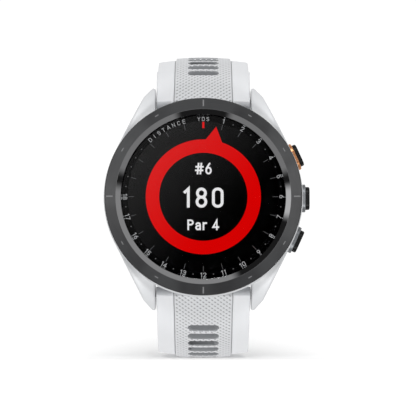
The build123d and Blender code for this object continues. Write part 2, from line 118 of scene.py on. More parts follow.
def dial_point(radius, clock, y):
    """The point at a radius (mm) and a clockwise angle from 12 o'clock, at depth y (metres)."""
    angle = math.radians(clock)
    return Vector((radius * MM * math.sin(angle), y, radius * MM * math.cos(angle)))


# ================================================================ materials
class Shader:
    """A Principled material with a few node helpers. Lengths are in metres on the object."""

    def __init__(self, name, color, roughness, **sockets):
        self.material = bpy.data.materials.new(name)
        self.material.use_nodes = True
        self.tree = self.material.node_tree
        self.bsdf = self.tree.nodes["Principled BSDF"]
        self.color = color
        self.set("Base Color", (*color, 1.0))
        self.set("Roughness", roughness)
        for socket, value in sockets.items():
            self.set(socket.replace("_", " "), value)
        self.place = self.node("ShaderNodeTexCoord").outputs["Object"]

    def set(self, socket, value):
        self.bsdf.inputs[socket].default_value = value

    def node(self, kind, **settings):
        made = self.tree.nodes.new(kind)
        for key, value in settings.items():
            setattr(made, key, value)
        return made

    def link(self, source, target):
        self.tree.links.new(source, target)

    def math(self, operation, a, b=0.0):
        made = self.node("ShaderNodeMath", operation=operation)
        for socket, value in zip(made.inputs, (a, b)):
            if isinstance(value, (int, float)):
                socket.default_value = value
            else:
                self.link(value, socket)
        return made.outputs[0]

    def noise(self, size, detail=2.0, roughness=0.5, vector=None):
        """Noise whose features are about size across."""
        made = self.node("ShaderNodeTexNoise")
        made.inputs["Scale"].default_value = 1.0 / size
        made.inputs["Detail"].default_value = detail
        made.inputs["Roughness"].default_value = roughness
        self.link(vector or self.place, made.inputs["Vector"])
        return made.outputs["Fac"]

    def scaled(self, value, low, high):
        """Maps 0..1 to low..high."""
        made = self.node("ShaderNodeMapRange")
        made.inputs["To Min"].default_value = low
        made.inputs["To Max"].default_value = high
        self.link(value, made.inputs["Value"])
        return made.outputs["Result"]

    def step(self, value, low, high):
        """A smooth 0..1 step as value goes from low to high."""
        made = self.node("ShaderNodeMapRange", interpolation_type="SMOOTHSTEP")
        made.inputs["From Min"].default_value = low
        made.inputs["From Max"].default_value = high
        self.link(value, made.inputs["Value"])
        return made.outputs["Result"]

    def blend(self, factor, first, second):
        """A colour between two colours."""
        made = self.node("ShaderNodeMix", data_type="RGBA")
        self.link(factor, made.inputs["Factor"])
        for socket, value in ((made.inputs["A"], first), (made.inputs["B"], second)):
            if isinstance(value, (tuple, list)):
                socket.default_value = (*value[:3], 1.0)
            else:
                self.link(value, socket)
        return made.outputs["Result"]

    def tint(self, factor, change):
        """Varies the base colour by plus or minus a share."""
        darker = [c * (1 - change) for c in self.color]
        lighter = [min(1.0, c * (1 + change)) for c in self.color]
        self.link(self.blend(factor, darker, lighter), self.bsdf.inputs["Base Color"])

    def rough(self, factor, low, high):
        self.link(self.scaled(factor, low, high), self.bsdf.inputs["Roughness"])

    def bump(self, height, distance, strength=1.0):
        made = self.node("ShaderNodeBump")
        made.inputs["Strength"].default_value = strength
        made.inputs["Distance"].default_value = distance
        self.link(height, made.inputs["Height"])
        self.link(made.outputs["Normal"], self.bsdf.inputs["Normal"])

    def radius_and_angle(self):
        """Distance from the dial's axis and angle round it."""
        parts = self.node("ShaderNodeSeparateXYZ")
        self.link(self.place, parts.inputs[0])
        x, z = parts.outputs["X"], parts.outputs["Z"]
        radius = self.math("SQRT", self.math("ADD", self.math("MULTIPLY", x, x), self.math("MULTIPLY", z, z)))
        return radius, self.math("ARCTAN2", x, z)

    def rings(self, width, length=0.004):
        """Fine streaks that run round the dial's axis."""
        radius, angle = self.radius_and_angle()
        across = self.math("DIVIDE", radius, width)
        along = self.math("DIVIDE", self.math("MULTIPLY", angle, 0.02), length)
        vector = self.node("ShaderNodeCombineXYZ")
        self.link(across, vector.inputs["X"])
        self.link(along, vector.inputs["Y"])
        return self.noise(1.0, 3.0, 0.6, vector.outputs[0])

    def stretched(self, width, direction):
        """Streaks along one axis, given as a (x, y, z) scale in widths."""
        made = self.node("ShaderNodeMapping")
        made.inputs["Scale"].default_value = [part / width for part in direction]
        self.link(self.place, made.inputs["Vector"])
        return self.noise(1.0, 3.0, 0.6, made.outputs[0])


def polymer(name, color, roughness=0.42, grain=0.00012):
    """Moulded plastic: a fine spark-eroded grain, with slightly uneven gloss and colour."""
    made = Shader(name, color, roughness, IOR=1.5)
    cloud = made.noise(0.006, 3.0)
    made.tint(cloud, 0.015)
    made.rough(made.noise(0.0015, 4.0), roughness - 0.06, roughness + 0.08)
    made.bump(made.noise(grain, 2.0, 0.6), 0.000004, 0.5)
    return made.material


def silicone(name, color):
    """Soft matt silicone: a little light passes in, a fine skin, and painted shade (a darker base colour from
    the "shade" attribute) in the pressed marks, the grooves, over the panel and on the side faces by the
    lugs.
    """
    made = Shader(name, color, 0.58, IOR=1.41)
    made.set("Subsurface Weight", 0.06)
    made.set("Subsurface Radius", (0.9, 0.85, 0.8))
    made.set("Subsurface Scale", 0.0004)
    made.set("Sheen Weight", 0.06)
    made.set("Sheen Roughness", 0.5)
    cloud = made.blend(made.noise(0.009, 3.0), [c * 0.985 for c in color], [c * 1.015 for c in color])
    # The "shade" attribute is painted shade: it darkens the base colour in the dimples, grooves, panel and
    # side faces at the lug gap.
    pressed = made.node("ShaderNodeAttribute", attribute_name="shade")
    painted_shade = made.scaled(pressed.outputs["Fac"], 0.0, 1.0)
    made.link(made.blend(painted_shade, cloud, [c * 0.22 for c in color]), made.bsdf.inputs["Base Color"])
    made.rough(made.noise(0.0012, 4.0), 0.5, 0.66)
    made.bump(made.noise(0.00007, 2.0, 0.7), 0.000003, 0.6)
    return made.material


def ceramic():
    """Dark grey ceramic: a circular-brushed flat top outside a mirror-polished inner chamfer; the top's
    colour has painted lighter and darker sectors for its brushed highlights, and the outer bevel a painted
    dark edge.
    """
    made = Shader("bezel_ceramic", (0.055, 0.055, 0.057), 0.3, IOR=1.5, Specular_IOR_Level=0.35,
                  Anisotropic=0.6)
    radius = made.radius_and_angle()[0]
    brushed = made.step(radius, 18.58 * MM, 18.64 * MM)
    edge = made.step(radius, 20.78 * MM, 20.84 * MM)
    streaks = made.rings(0.00006)
    turned = made.node("ShaderNodeVectorMath", operation="NORMALIZE")
    made.link(made.place, turned.inputs[0])
    # Painted reflection: the top's base colour turns lighter and darker in broad sectors round the ring, for
    # the brushed highlights.
    painted_sheen_sectors = made.noise(0.42, 2.0, 0.6, turned.outputs[0])
    made.link(made.scaled(brushed, 1.0, 0.0), made.bsdf.inputs["Metallic"])
    dark = made.blend(streaks, (0.015, 0.015, 0.016), (0.032, 0.032, 0.034))
    light = made.blend(streaks, (0.031, 0.032, 0.033), (0.053, 0.054, 0.056))
    top = made.blend(made.step(painted_sheen_sectors, 0.35, 0.65), dark, light)
    # Painted shade: past 20.8 mm the outer bevel gets a near-black base colour, for the dark line at the
    # bezel's edge.
    outer = made.blend(edge, top, (0.008, 0.008, 0.009))
    made.link(made.blend(brushed, (0.50, 0.50, 0.51), outer), made.bsdf.inputs["Base Color"])
    uneven = made.scaled(streaks, 0.26, 0.44)
    made.link(made.math("ADD", made.math("MULTIPLY", brushed, made.math("SUBTRACT", uneven, 0.02)), 0.02),
              made.bsdf.inputs["Roughness"])
    tangent = made.node("ShaderNodeTangent", direction_type="RADIAL", axis="Y")
    made.link(tangent.outputs[0], made.bsdf.inputs["Tangent"])
    made.bump(made.math("MULTIPLY", streaks, brushed), 0.000005, 0.45)
    return made.material


def metal(name, color, roughness, direction=(1, 1, 0.03), streak=0.00005):
    """Brushed metal: streaks along one axis, with faint stains."""
    made = Shader(name, color, roughness, Metallic=1.0, Anisotropic=0.4)
    streaks = made.stretched(streak, direction)
    made.tint(made.noise(0.002, 3.0), 0.08)
    made.rough(streaks, roughness - 0.08, roughness + 0.10)
    made.bump(streaks, 0.000003, 0.5)
    return made.material


def satin_black():
    """Black coated caps: a soft sheen, a fine orange-peel and a little polish from fingers."""
    made = Shader("cap_black", (0.005, 0.0052, 0.0055), 0.45, Specular_IOR_Level=0.14)
    made.rough(made.noise(0.0007, 3.0), 0.36, 0.52)
    made.tint(made.noise(0.0004, 3.0), 0.25)
    made.bump(made.noise(0.00009, 2.0), 0.000004, 0.5)
    return made.material


def clear_glass(name, tint=(1.0, 1.0, 1.0), roughness=0.0):
    """Hardened glass with the faintest wipe marks."""
    made = Shader(name, tint, roughness, IOR=1.5, Transmission_Weight=1.0)
    wipes = made.stretched(0.0015, (1.0, 1.0, 0.12))
    made.rough(wipes, 0.0, 0.012)
    return made.material


def board():
    """Green solder mask over copper tracks."""
    made = Shader("circuit_board", (0.015, 0.09, 0.045), 0.35, Coat_Weight=0.4)
    cells = made.node("ShaderNodeTexVoronoi", distance="MANHATTAN", feature="DISTANCE_TO_EDGE")
    cells.inputs["Scale"].default_value = 900.0
    made.link(made.place, cells.inputs["Vector"])
    tracks = made.step(cells.outputs["Distance"], 0.05, 0.09)
    made.link(made.blend(tracks, (0.03, 0.16, 0.07), made.color), made.bsdf.inputs["Base Color"])
    made.bump(tracks, 0.00001, 0.4)
    return made.material


def sensor_glass():
    """Dark filter glass over the heart-rate sensor: rings of clear ports over black print."""
    made = Shader("sensor_window", (0.006, 0.007, 0.009), 0.06, IOR=1.5, Coat_Weight=1.0, Coat_Roughness=0.02)
    radius, angle = made.radius_and_angle()
    ring = made.math("ABSOLUTE", made.math("SUBTRACT", radius, 4.3 * MM))
    port = made.step(ring, 0.9 * MM, 1.0 * MM)
    spokes = made.math("ABSOLUTE", made.math("SINE", made.math("MULTIPLY", angle, 2.0)))
    opening = made.math("MULTIPLY", made.math("SUBTRACT", 1.0, port), made.step(spokes, 0.55, 0.5))
    centre = made.math("SUBTRACT", 1.0, made.step(radius, 1.5 * MM, 1.6 * MM))
    both = made.math("MAXIMUM", opening, centre)
    clouded = made.blend(made.noise(0.0006, 2.0), (0.03, 0.045, 0.035), (0.05, 0.075, 0.06))
    made.link(made.blend(both, made.color, clouded), made.bsdf.inputs["Base Color"])
    made.rough(made.noise(0.003, 3.0), 0.03, 0.09)
    return made.material


def display_face():
    """The unlit display: black, with the faint grid of its pixels."""
    made = Shader("display_black", (0.0012, 0.0012, 0.0014), 0.35, Specular_IOR_Level=0.0)
    made.tint(made.noise(0.00012, 1.0), 0.4)
    made.rough(made.noise(0.004, 2.0), 0.3, 0.42)
    return made.material


def glow(name, color, strength, dark=(0.0, 0.0, 0.0)):
    """A lit part of the display, with the faint unevenness of its pixels; also used as painted glow on the
    ink printed in the glass.
    """
    made = Shader(name, dark, 0.6, Specular_IOR_Level=0.0)
    pixels = made.noise(0.00012, 1.0)
    shade = [c * 0.94 for c in color]
    made.link(made.blend(pixels, shade, color), made.bsdf.inputs["Emission Color"])
    made.set("Emission Strength", strength)
    return made.material


MATERIALS = {
    "case_polymer": polymer("case_polymer", (0.66, 0.67, 0.685)),
    "cover_polymer": polymer("cover_polymer", (0.74, 0.75, 0.765), 0.5, 0.0002),
    "bezel_ceramic": ceramic(),
    "lens_glass": clear_glass("lens_glass"),
    "seal_rubber": polymer("seal_rubber", (0.02, 0.02, 0.02), 0.6),
    "display_black": display_face(),
    "carrier_plastic": polymer("carrier_plastic", (0.03, 0.03, 0.033), 0.5),
    "circuit_board": board(),
    "chip_black": polymer("chip_black", (0.015, 0.015, 0.016), 0.45),
    "tinned_steel": metal("tinned_steel", (0.62, 0.62, 0.60), 0.35),
    "battery_foil": metal("battery_foil", (0.55, 0.56, 0.58), 0.4),
    "motor_steel": metal("motor_steel", (0.5, 0.5, 0.5), 0.3),
    "antenna_copper": metal("antenna_copper", (0.75, 0.42, 0.26), 0.3),
    "led_clear": polymer("led_clear", (0.45, 0.55, 0.42), 0.15),
    "sensor_window": sensor_glass(),
    "screw_steel": metal("screw_steel", (0.5, 0.5, 0.51), 0.28),
    "contact_gold": metal("contact_gold", (0.83, 0.6, 0.24), 0.22),
    "vent_black": polymer("vent_black", (0.03, 0.03, 0.03), 0.7),
    "flex_amber": polymer("flex_amber", (0.4, 0.16, 0.03), 0.3),
    "switch_body": polymer("switch_body", (0.04, 0.04, 0.04), 0.45),
    "guard_copper": metal("guard_copper", (0.60, 0.28, 0.13), 0.42, (1, 0.05, 1)),
    "guard_silver": metal("guard_silver", (0.25, 0.26, 0.272), 0.55, (1, 0.05, 1)),
    "cap_black": satin_black(),
    "strap_silicone": silicone("strap_silicone", (0.83, 0.84, 0.86)),
    "bar_steel": metal("bar_steel", (0.55, 0.55, 0.55), 0.3, (0.03, 1, 1)),
    "buckle_steel": metal("buckle_steel", (0.52, 0.52, 0.535), 0.4, (0.03, 1, 1)),
}
# A darker copy of the strap silicone for the slots' cut walls: painted shade inside the slots.
SLOT_WALL_SHADE = silicone("strap_slot_wall_painted_shade", (0.34, 0.35, 0.365))
for row in RECORD["subparts"]:
    mesh = NODES[row["node"]].data
    mesh.materials.clear()
    mesh.materials.append(MATERIALS[row["material_slot"]])


# ================================================================ strap
# The route is the strap's outer surface, as in the CAD: (radius, turn) arcs and straight lengths in mm,
# from a start point and a heading in degrees from +Z towards +Y. The lower half mirrors it in Z.
ROUTE_START = (-7.5, 21.0)
ROUTE_HEADING = 38.0
UPPER_ROUTE = [("arc", 32.3, 52.0), ("line", 3.3), ("arc", 30.0, 25.0), ("line", 20.0)]
LOWER_ROUTE = [("arc", 37.0, 34.0), ("arc", 10.0, 18.0), ("line", 20.0), ("arc", 30.0, 90.0), ("line", 10.0)]
THICKNESS = 2.4
PANEL_HEIGHT = 0.4
CROWN_RADIUS = 63.0
BAR = (-3.6, 21.2)
BARREL_RADIUS = 2.3
TAPER_START = (-1.58, 20.1)
COLUMN = 0.3125
DIMPLE_PITCH = 1.1
DIMPLE_DEPTH = 0.22
STATION = DIMPLE_PITCH / 4
VENT_PITCH = 3.0
HOLE_PITCH = 5.0
HEAD_WIDTH = 1.016
SLOT_WIDTH = 6.3
SLOT_LENGTH = 2.0


def step_length(step):
    return step[1] if step[0] == "line" else step[1] * math.radians(step[2])


def beside(y, z, heading, offset):
    """The (y, z) point that stands offset outside a route point."""
    angle = math.radians(heading)
    return y - offset * math.cos(angle), z + offset * math.sin(angle)


def route_point(route, distance):
    """The (y, z, heading) at a distance along a route."""
    y, z = ROUTE_START
    heading = ROUTE_HEADING
    left = distance
    for step in route:
        part = min(left, step_length(step))
        if step[0] == "line":
            y += part * math.sin(math.radians(heading))
            z += part * math.cos(math.radians(heading))
        else:
            centre = beside(y, z, heading, -step[1])
            heading += part / step_length(step) * step[2]
            y, z = beside(*centre, heading, step[1])
        left -= part
        if left <= 0:
            break
    return y, z, heading


def smooth(t):
    t = min(1.0, max(0.0, t))
    return t * t * (3 - 2 * t)


def crown(x):
    """How far the outer side falls away from its middle."""
    return CROWN_RADIUS - math.sqrt(CROWN_RADIUS ** 2 - x ** 2)


def section_columns():
    """The x places across the outer side, one list for the panel and one for what lies outside it."""
    panel = [k * COLUMN for k in range(-19, 20)]
    flank = [6.12, 6.18, 6.24, 6.31, 6.4, 7.0, 7.8, 8.6, 9.3]
    return panel, flank


EDGE = 0.22
GROOVE_DEPTH = 0.16
# Painted shade laid a little over the whole raised panel.
PANEL_SHADE = 0.14
EDGE_STEPS = 4


def section(panel_height, dimpled, side_shade):
    """The closed section, clockwise from the left foot of the outer side.

    Each point is (x, height, side, shade): height is measured outward from the outer side if side is 1
    and from the inner side if it is 0, and shade is how much painted shade (darker colour) it takes, from 0
    to 1, in the dimples, the grooves beside the panel, over the whole panel and on the side faces. dimpled
    says which panel columns are pressed in at this station, and side_shade is the painted shade of the side
    faces.
    """
    panel, flank = section_columns()
    half = STRAP_HALF_WIDTH / MM
    raised = panel_height / PANEL_HEIGHT
    bend = [math.radians(90 * k / EDGE_STEPS) for k in range(EDGE_STEPS + 1)]
    left = [(-(half - EDGE + EDGE * math.cos(a)), -crown(half - EDGE) - EDGE + EDGE * math.sin(a), 1,
             side_shade * math.cos(a) ** 2) for a in bend]
    for x in reversed(flank):
        sunk = groove(x) * raised
        left.append((-x, -crown(x) - GROOVE_DEPTH * sunk, 1, sunk))
    for x, share in ((6.08, 0.4), (6.02, 0.88)):
        left.append((-x, -crown(x) + panel_height * share, 1, 0.0))
    middle = []
    for k, x in enumerate(panel):
        pressed = raised if dimpled is not None and k % 2 and (k // 2) % 2 == dimpled else 0.0
        height = -crown(x) + panel_height - pressed * DIMPLE_DEPTH
        middle.append((x, height, 1, max(pressed, PANEL_SHADE * raised)))
    right = [(-x, height, side, sunk) for x, height, side, sunk in reversed(left)]
    under = [(half - EDGE + EDGE * math.cos(a), EDGE - EDGE * math.sin(a), 0, side_shade * math.cos(a) ** 2)
             for a in bend]
    across = [(x, 0.0, 0, 0.0) for x in (8.0, 5.0, 0.0, -5.0, -8.0)]
    return left + middle + right + under + across + [(-x, *rest) for x, *rest in reversed(under)]


def groove(x):
    """The share of its full depth that the fine line beside the panel's foot has at x."""
    return max(0.0, 1 - abs(x - 6.24) / 0.14)


def head_stations():
    """Outer and inner (y, z) points round the lug bar, from the wall side towards the band."""
    nose = [(-3.6, 18.92), (-4.6, 19.05), (-5.5, 19.40), (-6.35, 19.80), (-7.0, 20.2), (-7.38, 20.62)]
    stations = []
    for k, outer in enumerate(nose):
        angle = math.radians(-90 + 54 * k / (len(nose) - 1))
        inner = (BAR[0] + BARREL_RADIUS * math.cos(angle), BAR[1] + BARREL_RADIUS * math.sin(angle))
        stations.append((outer, inner))
    first = stations[0][1]
    stations[0] = ((first[0] - 0.35, first[1] + 0.02), (first[0] + 0.35, first[1] + 0.02))
    return stations


TAPER_LENGTH = 6.0


def band_station(route, distance):
    """Outer and inner points of the band. Near the lug the inner side swells towards the barrel."""
    y, z, heading = route_point(route, distance)
    inner = beside(y, z, heading, -THICKNESS)
    if distance < TAPER_LENGTH:
        end = beside(*route_point(route, TAPER_LENGTH), -THICKNESS)
        t = distance / TAPER_LENGTH
        inner = [a + (b - a) * t for a, b in zip(TAPER_START, end)]
    return (y, z), inner


def strap_skin(name, sign, route, panel_end, tail):
    """One strap half as a closed skin: dimpled panel, grooves, rounded edges, head and tail."""
    total = sum(step_length(step) for step in route)
    rows = []
    for k, (outer, inner) in enumerate(head_stations()):
        # The head's side faces take full painted shade, where the strap meets the lugs; it fades along the
        # band.
        rows.append((outer, inner, PANEL_HEIGHT * smooth((k - 2.0) / 3.0), None, HEAD_WIDTH, 1.0))
    count = math.ceil(panel_end / STATION)
    for k in range(count + 1):
        distance = k * STATION
        outer, inner = band_station(route, distance)
        height = PANEL_HEIGHT * smooth((panel_end - distance) / 0.5)
        dimpled = {0: 0, 2: 1}.get(k % 4)
        width = HEAD_WIDTH + (1 - HEAD_WIDTH) * smooth(distance / 6)
        rows.append((outer, inner, height, dimpled, width, smooth((6.0 - distance) / 3)))
    rows += tail(route, count * STATION, total)
    points, faces, shades = [], [], []
    for outer, inner, height, dimpled, width, side_shade in rows:
        outer, inner = Vector(outer), Vector(inner)
        up = (outer - inner).normalized()
        thin = min(1.0, (outer - inner).length / THICKNESS)
        for x, lift, side, shade in section(height, dimpled, side_shade):
            base = outer + up * (lift * thin) if side else inner + up * (lift * thin)
            points.append((x * width * MM, base.x * MM, sign * base.y * MM))
            shades.append(shade)
    size = len(points) // len(rows)
    for r in range(len(rows) - 1):
        for k in range(size):
            a, b = r * size + k, r * size + (k + 1) % size
            faces.append((a, b, b + size, a + size))
    faces.append(tuple(reversed(range(size))))
    faces.append(tuple(range((len(rows) - 1) * size, len(rows) * size)))
    skin = new_object(name, points, faces)
    skin.data.attributes.new("shade", "FLOAT", "POINT").data.foreach_set("value", shades)
    skin.data.materials.append(MATERIALS["strap_silicone"])
    return skin


def upper_tail(route, start, total):
    """The plain stretch that carries the keepers, and the barrel round the buckle's bar."""
    rows = []
    for k in range(1, 9):
        distance = start + (total - 1.2 - start) * k / 8
        rows.append((*band_station(route, distance), 0.0, None, 1.0, 0.0))
    y, z, heading = route_point(route, total)
    centre = Vector(beside(y, z, heading, -THICKNESS / 2))
    along = Vector((math.sin(math.radians(heading)), math.cos(math.radians(heading))))
    out = Vector((-along.y, along.x))
    centre += along * BUCKLE_BAR_AHEAD
    for k in range(12):
        angle = math.radians(132 - 128 * k / 11)
        reach = along * (BUCKLE_BARREL * math.cos(angle))
        rise = out * (BUCKLE_BARREL * math.sin(angle))
        rows.append((centre + reach + rise, centre + reach - rise, 0.0, None, 1.0, 0.0))
    return rows


def lower_tail(route, start, total):
    """The plain stretch behind the round tip, which thins a little at its very end."""
    rows = []
    corner = 7.0
    for k in range(1, 25):
        t = k / 24
        distance = start + (total - start) * (1 - (1 - t) ** 2)
        left = total - distance
        inset = max(0.0, corner - left)
        width = 1 - (corner - math.sqrt(max(0.0, corner ** 2 - inset ** 2))) * 0.1
        outer, inner = band_station(route, min(distance, total - 0.01))
        pinch = 0.5 * (1 - math.sqrt(1 - max(0.0, 1 - left / 0.6) ** 2))
        middle = [(a + b) / 2 for a, b in zip(outer, inner)]
        outer = [a + (m - a) * pinch for a, m in zip(outer, middle)]
        inner = [a + (m - a) * pinch for a, m in zip(inner, middle)]
        rows.append((outer, inner, 0.0, None, width, 0.0))
    return rows


BUCKLE_BAR_AHEAD = 1.6
BUCKLE_BARREL = 1.9


def stadium(width, length):
    """A round-ended outline in its own plane."""
    radius = length / 2
    reach = width / 2 - radius
    outline = []
    for k in range(24):
        angle = 2 * math.pi * (k + 0.5) / 24
        x = radius * math.cos(angle)
        outline.append((x + math.copysign(reach, x), radius * math.sin(angle)))
    return outline


# The slot's section through the strap: (height over the outer side, extra width, extra length).
SLOT_LEVELS = [(2.0, 3.6, 0.7), (PANEL_HEIGHT + 0.06, 0.8, 0.26), (-0.02, 0.0, 0.0),
               (-THICKNESS + 0.15, 0.0, 0.0), (-THICKNESS - 0.1, 0.4, 0.4), (-THICKNESS - 1.5, 0.4, 0.4)]


def slot_cutter(sign, route, distances):
    """Flared, round-ended prisms square to the strap, as one object."""
    points, faces = [], []
    for distance in distances:
        y, z, heading = route_point(route, distance)
        angle = math.radians(heading)
        along = Vector((math.sin(angle), math.cos(angle)))
        out = Vector((-math.cos(angle), math.sin(angle)))
        first = len(points)
        for height, wider, longer in SLOT_LEVELS:
            lift = height - crown(2.0) if height > -1 else height
            for x, v in stadium(SLOT_WIDTH + wider, SLOT_LENGTH + longer):
                spot = Vector((y, z)) + along * v + out * lift
                points.append((x * MM, spot.x * MM, sign * spot.y * MM))
        size = 24
        for r in range(len(SLOT_LEVELS) - 1):
            for k in range(size):
                a, b = first + r * size + k, first + r * size + (k + 1) % size
                faces.append((a, b, b + size, a + size))
        faces.append(tuple(reversed(range(first, first + size))))
        faces.append(tuple(range(first + (len(SLOT_LEVELS) - 1) * size, first + len(SLOT_LEVELS) * size)))
    cutter = new_object("cutter", points, faces, smooth=False)
    # The cut walls take the darker slot-wall silicone, which is painted shade.
    cutter.data.materials.append(SLOT_WALL_SHADE)
    return cutter


def prism(name, radius, half_length, centre, sides=32):
    """A round bar along X, for cutting."""
    points, faces = [], []
    for end in (-half_length, half_length):
        for k in range(sides):
            angle = 2 * math.pi * k / sides
            points.append(((centre[0] + end) * MM, (centre[1] + radius * math.cos(angle)) * MM,
                           (centre[2] + radius * math.sin(angle)) * MM))
    for k in range(sides):
        faces.append((k, (k + 1) % sides, sides + (k + 1) % sides, sides + k))
    faces.append(tuple(reversed(range(sides))))
    faces.append(tuple(range(sides, 2 * sides)))
    return new_object(name, points, faces, smooth=False)


def box_cutter(name, low, high, turn=0.0, origin=(0.0, 0.0, 0.0)):
    """A block for cutting, given by two corners in mm, turned about X and then moved to its origin."""
    corners = [(x, y, z) for x in (low[0], high[0]) for y in (low[1], high[1]) for z in (low[2], high[2])]
    place = Matrix.Translation(Vector(origin)) @ Matrix.Rotation(math.radians(turn), 4, "X")
    points = [(place @ Vector(c)) * MM for c in corners]
    faces = [(0, 1, 3, 2), (4, 6, 7, 5), (0, 4, 5, 1), (2, 3, 7, 6), (0, 2, 6, 4), (1, 5, 7, 3)]
    return new_object(name, points, faces, smooth=False)


def strap_half(name, sign, route, panel_end, tail, slots):
    """One strap half: its skin, with the slots, the bar's bore and the notch cut out."""
    skin = strap_skin(name, sign, route, panel_end, tail)
    cut(skin, slot_cutter(sign, route, slots))
    cut(skin, prism("bore", 0.8, 11.0, (0, BAR[0], sign * BAR[1])))
    cut(skin, box_cutter("notch", (3.8, BAR[0], sign * BAR[1] - 1.0), (7.2, 2.0, sign * BAR[1] + 1.0)))
    return skin


def build_straps():
    """Both halves, which stand for the plain CAD solids."""
    panel_upper = sum(step_length(step) for step in UPPER_ROUTE[:3])
    vents = [9.8 + VENT_PITCH * k for k in range(6)]
    upper = strap_half("strap_upper_skin", 1, UPPER_ROUTE, panel_upper, upper_tail, vents)
    y, z, heading = route_point(UPPER_ROUTE, 1000)
    y, z = beside(y, z, heading, -THICKNESS / 2)
    turn = 90 - heading
    y += BUCKLE_BAR_AHEAD * math.sin(math.radians(heading))
    z += BUCKLE_BAR_AHEAD * math.cos(math.radians(heading))
    cut(upper, prism("bore", 0.8, 11.0, (0, y, z)))
    cut(upper, box_cutter("notch", (-3, -3.6, -3), (3, 3, 3), turn, (0, y, z)))
    panel_lower = sum(step_length(step) for step in LOWER_ROUTE[:4])
    slots = [9.4 + VENT_PITCH * k for k in range(7)] + [44.0 + HOLE_PITCH * k for k in range(10)]
    lower = strap_half("strap_lower_skin", -1, LOWER_ROUTE, panel_lower, lower_tail, slots)
    for skin, body in ((upper, "strap_upper"), (lower, "strap_lower")):
        sharpen(skin, 50)
        finished(skin, MATERIALS["strap_silicone"], body, (body,))


# ================================================================ display
PIXEL_TOP = DISPLAY_TOP + 0.02 * MM
PRINT_THICKNESS = 0.03 * MM
FACE_TOP = DISPLAY_TOP + 0.06 * MM
BORDER = (16.1, 17.42)
BORDER_TOP = DISPLAY_TOP - 0.05 * MM
INK_TOP = DISPLAY_TOP - 0.09 * MM


def arc(x, y, across, up, start, end, steps=10):
    """Points on an arc, with angles in degrees anticlockwise from the right."""
    angles = [math.radians(start + (end - start) * k / steps) for k in range(steps + 1)]
    return [(x + across * math.cos(a), y + up * math.sin(a)) for a in angles]


def glyph(letter):
    """A letter's strokes in a box 1 high, as centre lines, and the letter's width.

    The strokes are drawn for a width of 0.5, and each closed stroke ends where it begins.
    """
    w = 0.46
    r = w / 2
    oval = arc(r, 1 - r, r, r, 90, 0) + arc(r, r, r, r, 0, -180, 20) + arc(r, 1 - r, r, r, 180, 90)
    bowl = [(0, 1), (w - 0.2, 1)] + arc(w - 0.24, 0.76, 0.24, 0.24, 80, -80) + [(w - 0.26, 0.52), (0, 0.52)]
    shapes = {
        "0": [oval],
        "1": [[(0.02, 0.82), (0.20, 1.0), (0.20, 0.0)]],
        "2": [arc(r, 0.76, r, 0.24, 175, -15) + [(0.02, 0.0), (w, 0.0)]],
        "3": [arc(r, 0.76, r, 0.24, 165, -80) + [(0.16, 0.53)],
              [(0.16, 0.53)] + arc(r, 0.265, r, 0.265, 85, -165)],
        "4": [[(0.34, 0.0), (0.34, 1.0), (-0.02, 0.25), (w + 0.04, 0.25)]],
        "5": [[(w - 0.03, 1.0), (0.03, 1.0), (0.0, 0.53)] + arc(r, 0.31, r, 0.31, 135, -160)],
        "6": [arc(r, 0.30, r, 0.30, 90, 450, 24), [(0.0, 0.32), (0.02, 0.52), (0.33, 1.0)]],
        "7": [[(0.0, 1.0), (w, 1.0), (0.14, 0.0)]],
        "8": [arc(r, 0.76, r - 0.02, 0.24, -90, 270, 24), arc(r, 0.265, r, 0.265, 90, 450, 24)],
        "9": [arc(r, 0.70, r, 0.30, -90, 270, 24), [(w, 0.68), (w - 0.02, 0.48), (0.13, 0.0)]],
        "#": [[(0.17, 0.0), (0.27, 1.0)], [(0.45, 0.0), (0.55, 1.0)], [(0.04, 0.68), (0.70, 0.68)],
              [(0.0, 0.32), (0.66, 0.32)]],
        "P": [[(0.0, 0.0)] + bowl],
        "a": [arc(0.2, 0.53, 0.19, 0.17, 160, 0) + [(0.39, 0.0)],
              [(0.39, 0.42)] + arc(0.19, 0.20, 0.19, 0.20, 90, 270) + [(0.39, 0.08)]],
        "r": [[(0.0, 0.0), (0.0, 0.72)], arc(0.24, 0.48, 0.24, 0.22, 170, 80)],
        "A": [[(0.0, 0.0), (0.26, 1.0), (0.52, 0.0)], [(0.08, 0.28), (0.44, 0.28)]],
        "C": [arc(r, 0.72, r, 0.28, 20, 180) + arc(r, 0.28, r, 0.28, 180, 340)],
        "D": [[(0.0, 0.0), (0.0, 1.0), (0.2, 1.0)] + arc(0.2, 0.74, 0.26, 0.26, 90, 0)
              + arc(0.2, 0.26, 0.26, 0.26, 0, -90) + [(0.0, 0.0)]],
        "E": [[(0.42, 1.0), (0.0, 1.0), (0.0, 0.0), (0.42, 0.0)], [(0.0, 0.52), (0.38, 0.52)]],
        "I": [[(0.05, 0.0), (0.05, 1.0)]],
        "N": [[(0.0, 0.0), (0.0, 1.0), (w, 0.0), (w, 1.0)]],
        "S": [arc(r, 0.76, r, 0.24, 25, 270) + arc(r, 0.26, r, 0.26, 90, -155)],
        "T": [[(0.0, 1.0), (w, 1.0)], [(r, 1.0), (r, 0.0)]],
        "Y": [[(0.0, 1.0), (r, 0.5), (w, 1.0)], [(r, 0.5), (r, 0.0)]],
        " ": [],
    }
    widths = {"1": 0.26, "#": 0.72, "a": 0.41, "r": 0.28, "A": 0.52, "I": 0.1, " ": 0.06, "4": 0.5, "P": w}
    return shapes[letter], widths.get(letter, w)


